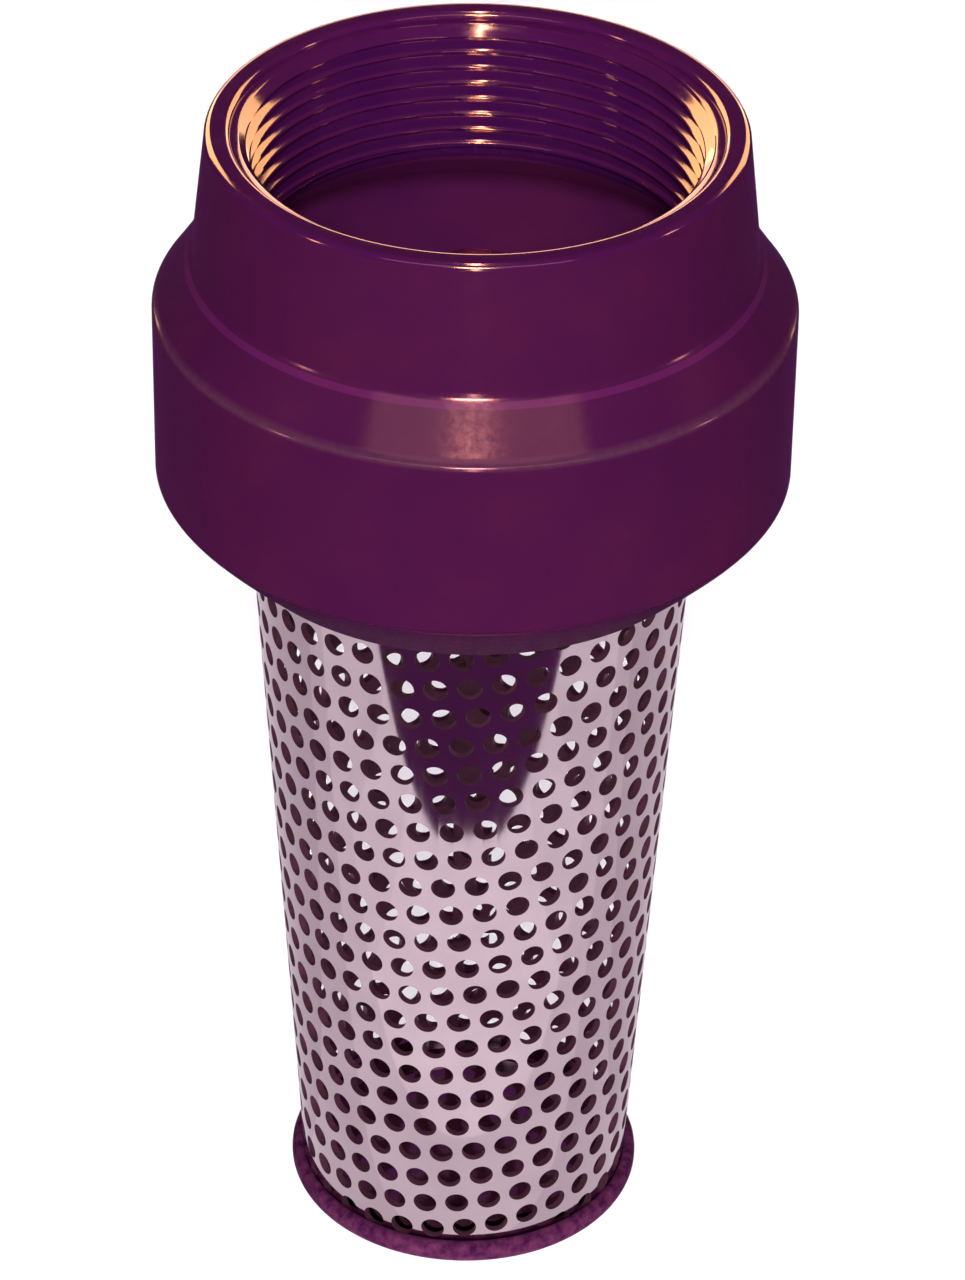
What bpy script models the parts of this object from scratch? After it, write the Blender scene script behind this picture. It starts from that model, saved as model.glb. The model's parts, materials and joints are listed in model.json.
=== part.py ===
"""Spring-loaded foot valve for a 2 inch suction pipe.

Run with: blender --background --python part.py

Lengths are in metres and +Z is up. The valve stands on its strainer's end band, so z = 0 is the
underside of that band, and the pipe screws into the mouth at the top. The poppet is on its seat.
"""

import math

import bmesh
import bpy
from mathutils import Vector

MM = 0.001
GAP = 0.3 * MM                      # left between pieces that touch

# Driving dimensions
HEIGHT = 164.0 * MM                 # base to the rim of the mouth
COLLAR_R = 34.0 * MM                # outside of the collar at the rim
COLLAR_BASE_R = 35.8 * MM
BELLY_R = 40.9 * MM
LIP_R = 31.8 * MM                   # outside of the lip round the strainer
MOUTH_R = 30.7 * MM                 # countersink of the mouth
THREAD_R = 28.3 * MM                # crest of the female pipe thread at the mouth
THREAD_TAPER = 1.0 / 32.0           # on radius, 1 in 16 on diameter
CHAMBER_R = 36.6 * MM
THROAT_R = 27.9 * MM                # seat ring's bore in the body
LEDGE_R = 24.9 * MM                 # bore of the ledge that the seat ring stands on
RECESS_R = 30.0 * MM                # strainer's bore in the body's underside
SEAT_R = 20.4 * MM                  # water way through the seat
STEM_R = 2.5 * MM
POST_CIRCLE_R = 24.7 * MM
POST_R = 1.5 * MM
POST_AZIMUTHS = (-90.0, 30.0, 150.0)
STRAINER_END_R = 22.4 * MM          # outside of the sheet where it enters the end band
STRAINER_TAPER = 0.062              # growth of the radius per unit of height
SHEET = 1.0 * MM
BAND_R = 24.0 * MM
BAND_H = 3.4 * MM

# Heights, from the base up
LIP_Z = 106.3 * MM
BELLY_LOW_Z = 116.1 * MM
BELLY_TOP_Z = 140.2 * MM
COLLAR_BASE_Z = 146.7 * MM
THREAD_LOW_Z = 146.0 * MM
RELIEF_Z = (143.6 * MM, 145.2 * MM)         # run-out groove under the thread
CHAMBER_CORNER_Z = (124.0 * MM, 134.5 * MM)  # centres of the chamber's rounded corners
SCREEN_GROOVE_Z = (107.4 * MM, 109.0 * MM)
LEDGE_LOW_Z = 110.4 * MM
LEDGE_TOP_Z = 112.6 * MM
FLANGE_TOP_Z = 115.9 * MM           # top of the seat ring's flange
SEAT_Z = 118.0 * MM                 # top of the raised sealing lip
BRIDGE_FOOT_Z = 134.7 * MM          # middle of the bridge's arms at the posts
BRIDGE_HUB_Z = 139.7 * MM           # middle of the arms at the hub
BRIDGE_T = 2.2 * MM
BOSS = 0.2 * MM                     # how far the hub and the feet stand proud of the arms

# Low and high ends of the pieces, from the base up
STEM_Z = (96.0 * MM, 142.2 * MM)
LOWER_BUSH_Z = (104.9 * MM, 111.1 * MM)
LOWER_HUB_Z = (104.6 * MM, 111.4 * MM)
RIB_Z = (107.8 * MM, 111.0 * MM)
SPIGOT_Z = 107.8 * MM
SCREEN_CLIP_Z = (107.7 * MM, 108.7 * MM)
O_RING_GROOVE_Z = (110.7 * MM, 112.1 * MM)
LOCK_NUT_Z = (112.0 * MM, 114.6 * MM)
POST_Z = (114.3 * MM, 138.6 * MM)
POST_HOLE_Z = (114.0 * MM, 120.0 * MM)
STEM_WASHER_Z = (114.9 * MM, 115.5 * MM)
CLAMP_PLATE_Z = (115.8 * MM, 118.0 * MM)
SEAT_CLIP_Z = (116.2 * MM, 117.4 * MM)
SEAL_Z = (118.3 * MM, 120.5 * MM)
DISC_Z = (120.8 * MM, 123.4 * MM)
DISC_HUB_Z = 125.6 * MM
SPRING_Z = (123.7 * MM, 137.0 * MM)
STEM_COLLAR_Z = (125.9 * MM, 129.0 * MM)
BRIDGE_NUT_Z = (136.3 * MM, 138.1 * MM)
SPRING_WASHER_Z = (137.3 * MM, 138.0 * MM)
UPPER_BUSH_Z = (138.6 * MM, 142.5 * MM)
BRIDGE_TOP_Z = 142.8 * MM

# Radii and widths of the smaller pieces
BUSH_R = 4.0 * MM
HUB_BORE_R = BUSH_R + GAP
SEAT_CLIP_R = (26.5 * MM, 28.6 * MM)
SCREEN_CLIP_R = (29.2 * MM, 30.6 * MM)
SPRING_WASHER_R = 9.6 * MM
STEM_WASHER_R = 4.8 * MM
BRIDGE_NUT_FLATS = 5.0 * MM
LOCK_NUT_FLATS = 8.0 * MM

FINE = 48                           # sides of the large turned pieces
MEDIUM = 24
SMALL = 12


# ---------------------------------------------------------------- helpers

def clear_scene():
    for obj in list(bpy.data.objects):
        bpy.data.objects.remove(obj, do_unlink=True)


def material(name, colour, metallic, roughness):
    made = bpy.data.materials.new(name)
    made.use_nodes = True
    shader = made.node_tree.nodes["Principled BSDF"]
    shader.inputs["Base Color"].default_value = (*colour, 1.0)
    shader.inputs["Metallic"].default_value = metallic
    shader.inputs["Roughness"].default_value = roughness
    return made


def add(name, mesh, finish, at=(0.0, 0.0, 0.0), turn=0.0):
    """A new object with smooth round sides and sharp corners."""
    obj = bpy.data.objects.new(name, mesh)
    bpy.context.scene.collection.objects.link(obj)
    obj.location = at
    obj.rotation_euler = (0.0, 0.0, turn)
    if finish is not None:
        mesh.materials.clear()
        mesh.materials.append(finish)
    mesh.shade_smooth()
    mesh.set_sharp_from_angle(angle=math.radians(35.0))
    return obj


def mesh_of(shape, name):
    bmesh.ops.remove_doubles(shape, verts=shape.verts[:], dist=1e-7)
    bmesh.ops.recalc_face_normals(shape, faces=shape.faces[:])
    mesh = bpy.data.meshes.new(name)
    shape.to_mesh(mesh)
    shape.free()
    return mesh


def turned_mesh(name, outline, steps):
    """The closed outline of (radius, height) points, spun about Z."""
    shape = bmesh.new()
    ring = [shape.verts.new((radius, 0.0, height)) for radius, height in outline]
    edges = [shape.edges.new((a, b)) for a, b in zip(ring, ring[1:] + ring[:1])]
    if outline[0][0] == 0.0 and outline[-1][0] == 0.0:
        shape.edges.remove(edges.pop())
    bmesh.ops.spin(
        shape, geom=ring + edges, cent=(0, 0, 0), axis=(0, 0, 1), angle=math.tau, steps=steps, use_merge=True)
    return mesh_of(shape, name)


def turned(name, outline, finish, steps=MEDIUM, **place):
    return add(name, turned_mesh(name, outline, steps), finish, **place)


def tube_outline(inner, outer, low, high):
    return [(inner, high), (outer, high), (outer, low), (inner, low)]


def rod_outline(radius, low, high, chamfer=0.0):
    return [(0.0, high), (radius - chamfer, high), (radius, high - chamfer),
            (radius, low + chamfer), (radius - chamfer, low), (0.0, low)]


def arc(centre, radius, start, end, steps):
    """Points on an arc in the (radius, height) plane, with its angles in degrees from +radius."""
    turns = [math.radians(start + (end - start) * i / steps) for i in range(steps + 1)]
    return [(centre[0] + radius * math.cos(t), centre[1] + radius * math.sin(t)) for t in turns]


def hidden(obj):
    """Marks a Boolean's other shape as a helper."""
    obj.hide_render = True
    obj.display_type = "WIRE"
    return obj


def boolean(obj, other, operation):
    step = obj.modifiers.new(other.name, "BOOLEAN")
    step.operation = operation
    step.object = hidden(other)


def cut(obj, other):
    boolean(obj, other, "DIFFERENCE")


def join(obj, other):
    boolean(obj, other, "UNION")


def extruded_mesh(name, corners, low, high):
    """A prism with the (x, y) corners."""
    shape = bmesh.new()
    face = shape.faces.new([shape.verts.new((x, y, low)) for x, y in corners])
    up = bmesh.ops.extrude_face_region(shape, geom=[face])
    raised = [item for item in up["geom"] if isinstance(item, bmesh.types.BMVert)]
    bmesh.ops.translate(shape, verts=raised, vec=(0.0, 0.0, high - low))
    return mesh_of(shape, name)


def around(azimuth, radius):
    """A point on a circle about the axis, at height 0."""
    angle = math.radians(azimuth)
    return Vector((radius * math.cos(angle), radius * math.sin(angle), 0.0))


# ---------------------------------------------------------------- body

def lower_taper(steps=8):
    """The body's underside curve from the belly to the lip: a quadratic curve that starts upright."""
    start = Vector((BELLY_R, BELLY_LOW_Z))
    knee = Vector((BELLY_R, BELLY_LOW_Z - 1.1 * MM))
    end = Vector((LIP_R, LIP_Z))
    points = []
    for i in range(steps + 1):
        t = i / steps
        points.append(tuple(start * (1 - t) ** 2 + knee * (2 * t * (1 - t)) + end * t * t))
    return points


def make_valve_body(finish):
    rim_round = 0.8 * MM
    shoulder_round = 1.0 * MM
    groove_depth = 0.9 * MM
    clip_groove, clip_groove_top, throat_edge = 1.0 * MM, FLANGE_TOP_Z + 1.8 * MM, FLANGE_TOP_Z + 2.5 * MM
    low_corner, high_corner, relief = 4.0 * MM, 5.0 * MM, 1.6 * MM
    countersink_z = HEIGHT - (MOUTH_R - THREAD_R)
    thread_low_r = THREAD_R - THREAD_TAPER * (countersink_z - THREAD_LOW_Z)
    outline = arc((COLLAR_R - rim_round, HEIGHT - rim_round), rim_round, 90, 0, 2)
    outline += [(COLLAR_BASE_R, COLLAR_BASE_Z)]
    outline += arc((BELLY_R - shoulder_round, BELLY_TOP_Z - shoulder_round), shoulder_round, 50, 0, 3)
    outline += lower_taper()
    outline += [
        (RECESS_R, LIP_Z),
        (RECESS_R, SCREEN_GROOVE_Z[0]),
        (RECESS_R + groove_depth, SCREEN_GROOVE_Z[0]),
        (RECESS_R + groove_depth, SCREEN_GROOVE_Z[1]),
        (RECESS_R, SCREEN_GROOVE_Z[1]),
        (RECESS_R, LEDGE_LOW_Z),
        (LEDGE_R, LEDGE_LOW_Z),
        (LEDGE_R, LEDGE_TOP_Z),
        (THROAT_R, LEDGE_TOP_Z),
        (THROAT_R, FLANGE_TOP_Z),
        (THROAT_R + clip_groove, FLANGE_TOP_Z),
        (THROAT_R + clip_groove, clip_groove_top),
        (THROAT_R, clip_groove_top),
        (THROAT_R, throat_edge),
    ]
    outline += arc((CHAMBER_R - low_corner, CHAMBER_CORNER_Z[0]), low_corner, -60, 0, 4)
    outline += arc((CHAMBER_R - high_corner, CHAMBER_CORNER_Z[1]), high_corner, 0, 50, 4)
    outline += [
        (thread_low_r + relief, RELIEF_Z[0]),
        (thread_low_r + relief, RELIEF_Z[1]),
        (thread_low_r, THREAD_LOW_Z),
        (THREAD_R, countersink_z),
        (MOUTH_R, HEIGHT),
    ]
    return turned("valve_body", outline, finish, FINE)


# ---------------------------------------------------------------- seat

def make_seat_ring(finish):
    """Flange, raised sealing lip, spigot with an O-ring groove, and a hub on three ribs."""
    flange_r = THROAT_R - GAP
    spigot_r = LEDGE_R - GAP
    flange_z = LEDGE_TOP_Z + GAP
    lip_top_r, lip_r = 21.5 * MM, 22.0 * MM
    groove_r = 23.3 * MM
    outline = [
        (SEAT_R, SEAT_Z),
        (lip_top_r, SEAT_Z),
        (lip_r, FLANGE_TOP_Z),
        (flange_r, FLANGE_TOP_Z),
        (flange_r, flange_z),
        (spigot_r, flange_z),
        (spigot_r, O_RING_GROOVE_Z[1]),
        (groove_r, O_RING_GROOVE_Z[1]),
        (groove_r, O_RING_GROOVE_Z[0]),
        (spigot_r, O_RING_GROOVE_Z[0]),
        (spigot_r, SPIGOT_Z),
        (SEAT_R, SPIGOT_Z),
    ]
    ring = turned("seat_ring", outline, finish, FINE)
    hub_r = 5.6 * MM
    rib_start, rib_end, rib_half = 4.9 * MM, SEAT_R + 0.8 * MM, 1.3 * MM
    corners = [(rib_start, -rib_half), (rib_end, -rib_half), (rib_end, rib_half), (rib_start, rib_half)]
    for azimuth in POST_AZIMUTHS:
        mesh = extruded_mesh("rib", corners, *RIB_Z)
        join(ring, add(f"rib_{azimuth:.0f}", mesh, None, turn=math.radians(azimuth)))
    join(ring, turned("lower_hub", tube_outline(HUB_BORE_R, hub_r, *LOWER_HUB_Z), None))
    for azimuth in POST_AZIMUTHS:
        hole = rod_outline(POST_R + GAP, *POST_HOLE_Z)
        cut(ring, turned(f"post_hole_{azimuth:.0f}", hole, None, SMALL, at=around(azimuth, POST_CIRCLE_R)))
    return ring


def make_o_ring(finish):
    centre_r, section_r = 24.1 * MM, 0.5 * MM
    section = arc((centre_r, sum(O_RING_GROOVE_Z) / 2), section_r, 0, -360, 8)[:-1]
    return turned("seat_o_ring", section, finish, FINE)


def make_snap_ring(name, radii, heights, finish, opening=(70.0, 110.0)):
    """An internal snap ring: a flat C."""
    inner, outer = radii
    low, high = heights
    start = math.radians(opening[1])
    sweep = math.tau - math.radians(opening[1] - opening[0])
    steps = 40
    shape = bmesh.new()
    section = [shape.verts.new((r * math.cos(start), r * math.sin(start), z))
               for r, z in ((inner, low), (outer, low), (outer, high), (inner, high))]
    face = shape.faces.new(section)
    bmesh.ops.spin(
        shape, geom=[face, *face.edges, *face.verts], cent=(0, 0, 0), axis=(0, 0, 1), angle=sweep, steps=steps)
    return add(name, mesh_of(shape, name), finish)


def make_guide_post(index, azimuth, finish):
    """A post with a shoulder under the bridge's foot."""
    shoulder_r, shoulder_t, shoulder_slope, end_chamfer = 2.2 * MM, 1.5 * MM, 0.5 * MM, 0.3 * MM
    low, high = POST_Z
    shoulder_top = BRIDGE_FOOT_Z - BRIDGE_T / 2 - BOSS - GAP
    outline = [
        (0.0, high),
        (POST_R - end_chamfer, high),
        (POST_R, high - end_chamfer),
        (POST_R, shoulder_top),
        (shoulder_r, shoulder_top),
        (shoulder_r, shoulder_top - shoulder_t),
        (POST_R, shoulder_top - shoulder_t - shoulder_slope),
        (POST_R, low),
        (0.0, low),
    ]
    return turned(f"guide_post_{index}", outline, finish, SMALL, at=around(azimuth, POST_CIRCLE_R))


def hexagon(across_flats):
    corner_r = across_flats / 2 / math.cos(math.pi / 6)
    return [(corner_r * math.cos(math.radians(60 * i)), corner_r * math.sin(math.radians(60 * i)))
            for i in range(6)]


def make_nut(name, across_flats, bore_r, heights, finish, at=(0.0, 0.0, 0.0)):
    """A hexagon nut with its bore cut through and its top corners turned off."""
    low, high = heights
    nut = add(name, extruded_mesh(name, hexagon(across_flats), low, high), finish, at=at)
    margin = 1.0 * MM
    cut(nut, turned(f"{name}_bore", rod_outline(bore_r, low - margin, high + margin), None, SMALL, at=at))
    corner_r = across_flats / 2 / math.cos(math.pi / 6)
    drop = 0.5 * MM
    crown = [
        (corner_r - 2 * drop, high + margin),
        (corner_r + margin, high + margin),
        (corner_r + margin, high - drop),
        (corner_r, high - drop),
        (corner_r - 2 * drop, high),
    ]
    cut(nut, turned(f"{name}_crown", crown, None, MEDIUM, at=at))
    return nut


# ---------------------------------------------------------------- bridge

def arm_height(radius, hub_edge=9.0 * MM):
    """Middle height of a bridge arm: flat over the hub, then a smooth fall to the post."""
    t = min(max((POST_CIRCLE_R - radius) / (POST_CIRCLE_R - hub_edge), 0.0), 1.0)
    return BRIDGE_FOOT_Z + (BRIDGE_HUB_Z - BRIDGE_FOOT_Z) * t * t * (3 - 2 * t)


def arm_mesh(name, inner, outer, width_in, width_out, steps=10):
    """One arched arm along +X, wider at the hub than at the post."""
    shape = bmesh.new()
    sections = []
    for i in range(steps + 1):
        t = i / steps
        x = inner + (outer - inner) * t
        half = (width_in + (width_out - width_in) * t) / 2
        z = arm_height(x)
        corners = ((-half, -1), (half, -1), (half, 1), (-half, 1))
        sections.append([shape.verts.new((x, y, z + side * BRIDGE_T / 2)) for y, side in corners])
    shape.faces.new(sections[0])
    shape.faces.new(sections[-1][::-1])
    for a, b in zip(sections, sections[1:]):
        for j in range(4):
            shape.faces.new((a[j], a[(j + 1) % 4], b[(j + 1) % 4], b[j]))
    return mesh_of(shape, name)


def make_guide_bridge(finish):
    hub_r, hub_chamfer, foot_r = 7.6 * MM, 0.8 * MM, 3.4 * MM
    arm_start, arm_end, width_in, width_out = 6.0 * MM, POST_CIRCLE_R - 2.4 * MM, 7.0 * MM, 4.4 * MM
    hub_low = BRIDGE_HUB_Z - BRIDGE_T / 2 - BOSS
    outline = [(HUB_BORE_R, BRIDGE_TOP_Z), (hub_r - hub_chamfer, BRIDGE_TOP_Z), (hub_r, BRIDGE_TOP_Z - hub_chamfer),
               (hub_r, hub_low), (HUB_BORE_R, hub_low)]
    bridge = turned("guide_bridge", outline, finish)
    foot_half = BRIDGE_T / 2 + BOSS
    foot = tube_outline(POST_R + GAP, foot_r, BRIDGE_FOOT_Z - foot_half, BRIDGE_FOOT_Z + foot_half)
    arm = arm_mesh("arm", arm_start, arm_end, width_in, width_out)
    for azimuth in POST_AZIMUTHS:
        join(bridge, add(f"arm_{azimuth:.0f}", arm, None, turn=math.radians(azimuth)))
        at = around(azimuth, POST_CIRCLE_R)
        join(bridge, turned(f"foot_{azimuth:.0f}", foot, None, SMALL, at=at))
    return bridge


# ---------------------------------------------------------------- poppet

def make_poppet_stem(finish):
    """A round stem. Its collar clamps the poppet's stack, and stops the lift at the thrust washer."""
    collar_r, end_chamfer = 4.4 * MM, 0.6 * MM
    low, high = STEM_Z
    collar_low, collar_high = STEM_COLLAR_Z
    outline = [
        (0.0, high),
        (STEM_R - end_chamfer, high),
        (STEM_R, high - end_chamfer),
        (STEM_R, collar_high),
        (collar_r, collar_high),
        (collar_r, collar_low),
        (STEM_R, collar_low),
        (STEM_R, low + end_chamfer),
        (STEM_R - end_chamfer, low),
        (0.0, low),
    ]
    return turned("poppet_stem", outline, finish)


def make_poppet_disc(finish):
    disc_r, hub_r, bore_r = 22.7 * MM, 5.5 * MM, STEM_R + GAP
    hub_slope, edge_slope, edge_drop = 0.5 * MM, 1.0 * MM, 0.8 * MM
    low, high = DISC_Z
    outline = [
        (bore_r, DISC_HUB_Z),
        (hub_r, DISC_HUB_Z),
        (hub_r + hub_slope, high),
        (disc_r - edge_slope, high),
        (disc_r, high - edge_drop),
        (disc_r, low),
        (bore_r, low),
    ]
    return turned("poppet_disc", outline, finish, FINE)


def make_poppet_seal(finish):
    seal_r = 22.4 * MM
    return turned("poppet_seal", tube_outline(STEM_R + GAP, seal_r, *SEAL_Z), finish, FINE)


def make_seal_clamp_plate(finish):
    edge_r, bore_r, chamfer = 19.6 * MM, STEM_R + GAP, 1.1 * MM
    low, high = CLAMP_PLATE_Z
    outline = [
        (bore_r, high),
        (edge_r, high),
        (edge_r, low + chamfer),
        (edge_r - chamfer, low),
        (bore_r, low),
    ]
    return turned("seal_clamp_plate", outline, finish, MEDIUM)


def make_return_spring(finish):
    """A cylindrical compression spring between the disc and the thrust washer."""
    mean_r, wire_r, coils, sides, per_coil = 8.2 * MM, 0.45 * MM, 4.0, 6, 12
    low, high = SPRING_Z[0] + wire_r, SPRING_Z[1] - wire_r
    closed_turn = 1.0
    count = round(coils * per_coil)
    shape = bmesh.new()
    rings = []
    for i in range(count + 1):
        turns = i / per_coil
        # The first and last turns lie almost flat, one wire thick.
        flat = 2.2 * wire_r
        middle = (high - low - 2 * flat) / (coils - 2 * closed_turn)
        if turns < closed_turn:
            z = low + flat * turns / closed_turn
        elif turns > coils - closed_turn:
            z = high - flat * (coils - turns) / closed_turn
        else:
            z = low + flat + middle * (turns - closed_turn)
        angle = math.tau * turns
        out = Vector((math.cos(angle), math.sin(angle), 0.0))
        centre = out * mean_r + Vector((0.0, 0.0, z))
        ring = []
        for j in range(sides):
            around_wire = math.tau * j / sides
            offset = out * math.cos(around_wire) + Vector((0.0, 0.0, math.sin(around_wire)))
            ring.append(shape.verts.new(centre + offset * wire_r))
        rings.append(ring)
    shape.faces.new(rings[0])
    shape.faces.new(rings[-1][::-1])
    for a, b in zip(rings, rings[1:]):
        for j in range(sides):
            shape.faces.new((a[j], a[(j + 1) % sides], b[(j + 1) % sides], b[j]))
    return add("return_spring", mesh_of(shape, "return_spring"), finish)


# ---------------------------------------------------------------- strainer

def sheet_r(height):
    """Outer radius of the strainer's sheet."""
    return STRAINER_END_R + STRAINER_TAPER * (height - BAND_H)


def make_strainer_screen(finish):
    """Tapered tube of sheet with its top edge turned outwards."""
    low, rim_low, rim_high, rim_r = 2.2 * MM, 109.3 * MM, 110.1 * MM, 29.7 * MM
    levels = 5
    heights = [rim_low + (low - rim_low) * i / levels for i in range(levels + 1)]
    outline = [(sheet_r(rim_high) - SHEET, rim_high), (rim_r, rim_high), (rim_r, rim_low)]
    outline += [(sheet_r(z), z) for z in heights]
    outline += [(sheet_r(z) - SHEET, z) for z in reversed(heights)]
    return turned("strainer_screen", outline, finish, FINE)


def make_strainer_end_band(finish):
    """Rolled band round the sheet's end, with a lip turned in under it."""
    lip_inner_r, lip_t, edge_round, top_chamfer = 19.0 * MM, 1.3 * MM, 2.2 * MM, 0.3 * MM
    wall_inner_r = sheet_r(BAND_H) + GAP
    outline = [(wall_inner_r, BAND_H), (BAND_R - top_chamfer, BAND_H), (BAND_R, BAND_H - top_chamfer)]
    outline += arc((BAND_R - edge_round, edge_round), edge_round, 0, -90, 5)
    outline += [(lip_inner_r, 0.0), (lip_inner_r, lip_t), (wall_inner_r, lip_t)]
    return turned("strainer_end_band", outline, finish, FINE)


def make_strainer_end_plate(finish):
    """Dished disc that stands on the band's lip, inside the sheet, with its edge turned up."""
    edge_r, low, plate_t, edge_high, bend = 21.0 * MM, 1.6 * MM, 1.0 * MM, 5.6 * MM, 0.8 * MM
    outline = [
        (0.0, low + plate_t),
        (edge_r - plate_t - bend, low + plate_t),
        (edge_r - plate_t, low + plate_t + bend),
        (edge_r - plate_t, edge_high),
        (edge_r, edge_high),
        (edge_r, low + bend),
        (edge_r - bend, low),
        (0.0, low),
    ]
    return turned("strainer_end_plate", outline, finish, FINE)


# ---------------------------------------------------------------- assembly

def main():
    clear_scene()
    bronze = material("dark_bronze", (0.075, 0.012, 0.065), 0.9, 0.35)
    band_bronze = material("band_bronze", (0.07, 0.02, 0.06), 0.85, 0.4)
    stainless = material("stainless", (0.60, 0.53, 0.55), 1.0, 0.35)
    spring_steel = material("spring_steel", (0.35, 0.33, 0.36), 1.0, 0.3)
    rubber = material("black_rubber", (0.02, 0.018, 0.022), 0.0, 0.7)
    bush_bronze = material("bush_bronze", (0.45, 0.26, 0.10), 1.0, 0.35)

    make_valve_body(bronze)
    make_seat_ring(bronze)
    make_o_ring(rubber)
    make_snap_ring("seat_retaining_ring", SEAT_CLIP_R, SEAT_CLIP_Z, spring_steel)
    turned("lower_guide_bush", tube_outline(STEM_R + GAP, BUSH_R, *LOWER_BUSH_Z), bush_bronze)

    for index, azimuth in enumerate(POST_AZIMUTHS, start=1):
        make_guide_post(index, azimuth, stainless)
        at = around(azimuth, POST_CIRCLE_R)
        make_nut(f"bridge_nut_{index}", BRIDGE_NUT_FLATS, POST_R + GAP, BRIDGE_NUT_Z, stainless, at=at)
    make_guide_bridge(bronze)
    turned("upper_guide_bush", tube_outline(STEM_R + GAP, BUSH_R, *UPPER_BUSH_Z), bush_bronze)
    washer_bore_r = STEM_R + 0.5 * MM
    turned("spring_washer", tube_outline(washer_bore_r, SPRING_WASHER_R, *SPRING_WASHER_Z), stainless)

    make_return_spring(spring_steel)
    make_poppet_stem(stainless)
    make_poppet_disc(bronze)
    make_poppet_seal(rubber)
    make_seal_clamp_plate(stainless)
    turned("stem_washer", tube_outline(STEM_R + GAP, STEM_WASHER_R, *STEM_WASHER_Z), stainless)
    make_nut("stem_lock_nut", LOCK_NUT_FLATS, STEM_R + GAP, LOCK_NUT_Z, stainless)

    make_strainer_screen(stainless)
    make_snap_ring("strainer_retaining_ring", SCREEN_CLIP_R, SCREEN_CLIP_Z, spring_steel)
    make_strainer_end_band(band_bronze)
    make_strainer_end_plate(stainless)


main()
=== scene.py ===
"""Looks of the foot valve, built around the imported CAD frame. Lengths are in metres, +Z up.

The body, the perforated sheet, the end band and the return spring get finer pieces here. Every other
node keeps its CAD shape and gets a finish.
"""

import json
import math

import bmesh
import bpy
import numpy as np
from mathutils import Matrix, Vector


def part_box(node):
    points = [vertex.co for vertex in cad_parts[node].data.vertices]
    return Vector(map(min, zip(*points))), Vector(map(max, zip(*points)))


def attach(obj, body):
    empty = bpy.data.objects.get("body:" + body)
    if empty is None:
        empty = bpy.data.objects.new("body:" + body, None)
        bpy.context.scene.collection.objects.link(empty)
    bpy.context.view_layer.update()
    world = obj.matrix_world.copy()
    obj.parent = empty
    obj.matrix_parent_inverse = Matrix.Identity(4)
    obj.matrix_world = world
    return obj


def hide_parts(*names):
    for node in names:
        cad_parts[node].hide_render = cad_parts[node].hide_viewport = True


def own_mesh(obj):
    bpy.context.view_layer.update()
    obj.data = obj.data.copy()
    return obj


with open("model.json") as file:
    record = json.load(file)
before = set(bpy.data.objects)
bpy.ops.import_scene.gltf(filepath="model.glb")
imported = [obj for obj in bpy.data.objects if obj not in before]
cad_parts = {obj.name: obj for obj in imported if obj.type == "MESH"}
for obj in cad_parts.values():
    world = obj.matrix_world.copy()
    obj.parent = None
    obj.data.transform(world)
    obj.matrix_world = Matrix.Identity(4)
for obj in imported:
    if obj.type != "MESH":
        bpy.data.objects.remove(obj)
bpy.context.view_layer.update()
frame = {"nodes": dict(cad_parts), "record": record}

MM = 0.001

# Sizes read from the frame
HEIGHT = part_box("valve_body")[1].z
BELLY_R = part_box("valve_body")[1].x
LIP_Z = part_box("valve_body")[0].z
BAND_R, BAND_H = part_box("strainer_end_band")[1].x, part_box("strainer_end_band")[1].z

# The CAD model's own sizes, repeated here
COLLAR_R = 34.0 * MM
COLLAR_BASE_R, COLLAR_BASE_Z = 35.8 * MM, 146.7 * MM
BELLY_TOP_Z, BELLY_LOW_Z = 140.2 * MM, 116.1 * MM
LIP_R = 31.8 * MM
MOUTH_R = 30.7 * MM
CHAMBER_R = 36.6 * MM
THROAT_R, LEDGE_R, RECESS_R = 27.9 * MM, 24.9 * MM, 30.0 * MM
LEDGE_LOW_Z, LEDGE_TOP_Z, FLANGE_TOP_Z = 110.4 * MM, 112.6 * MM, 115.9 * MM
SCREEN_GROOVE_Z, SCREEN_GROOVE_DEPTH = (107.4 * MM, 109.0 * MM), 0.9 * MM
SEAT_GROOVE_HEIGHT, SEAT_GROOVE_DEPTH = 1.8 * MM, 1.0 * MM
CHAMBER_CORNER_Z, CHAMBER_CORNER_R = (124.0 * MM, 134.5 * MM), (4.0 * MM, 5.0 * MM)
RELIEF_Z, RELIEF_DEPTH = (143.6 * MM, 144.4 * MM, 145.2 * MM), 1.6 * MM
TAPER_KNEE = 1.1 * MM               # how far below the belly the lower taper's knee lies
STRAINER_END_R, STRAINER_TAPER, SHEET = 22.4 * MM, 0.062, 1.0 * MM

# 2-11.5 NPT female thread
PITCH = 25.4 * MM / 11.5
THREAD_CREST_R = 28.3 * MM
THREAD_DEPTH = 1.5 * MM
THREAD_TAPER = 1.0 / 32.0
THREAD_LOW_Z = 146.0 * MM


# ---------------------------------------------------------------- mesh helpers

def clamped(value):
    return min(max(value, 0.0), 1.0)


def eased(t):
    """Goes from 0 to 1 with level ends."""
    return t * t * (3 - 2 * t)


def arc(centre, radius, start, end, steps):
    """Points on an arc in the (radius, height) plane, with its angles in degrees from +radius."""
    turns = [math.radians(start + (end - start) * i / steps) for i in range(steps + 1)]
    return [(centre[0] + radius * math.cos(t), centre[1] + radius * math.sin(t)) for t in turns]


def straight(start, end, steps):
    """Points after start, up to and including end."""
    return [(start[0] + (end[0] - start[0]) * i / steps, start[1] + (end[1] - start[1]) * i / steps)
            for i in range(1, steps + 1)]


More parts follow.
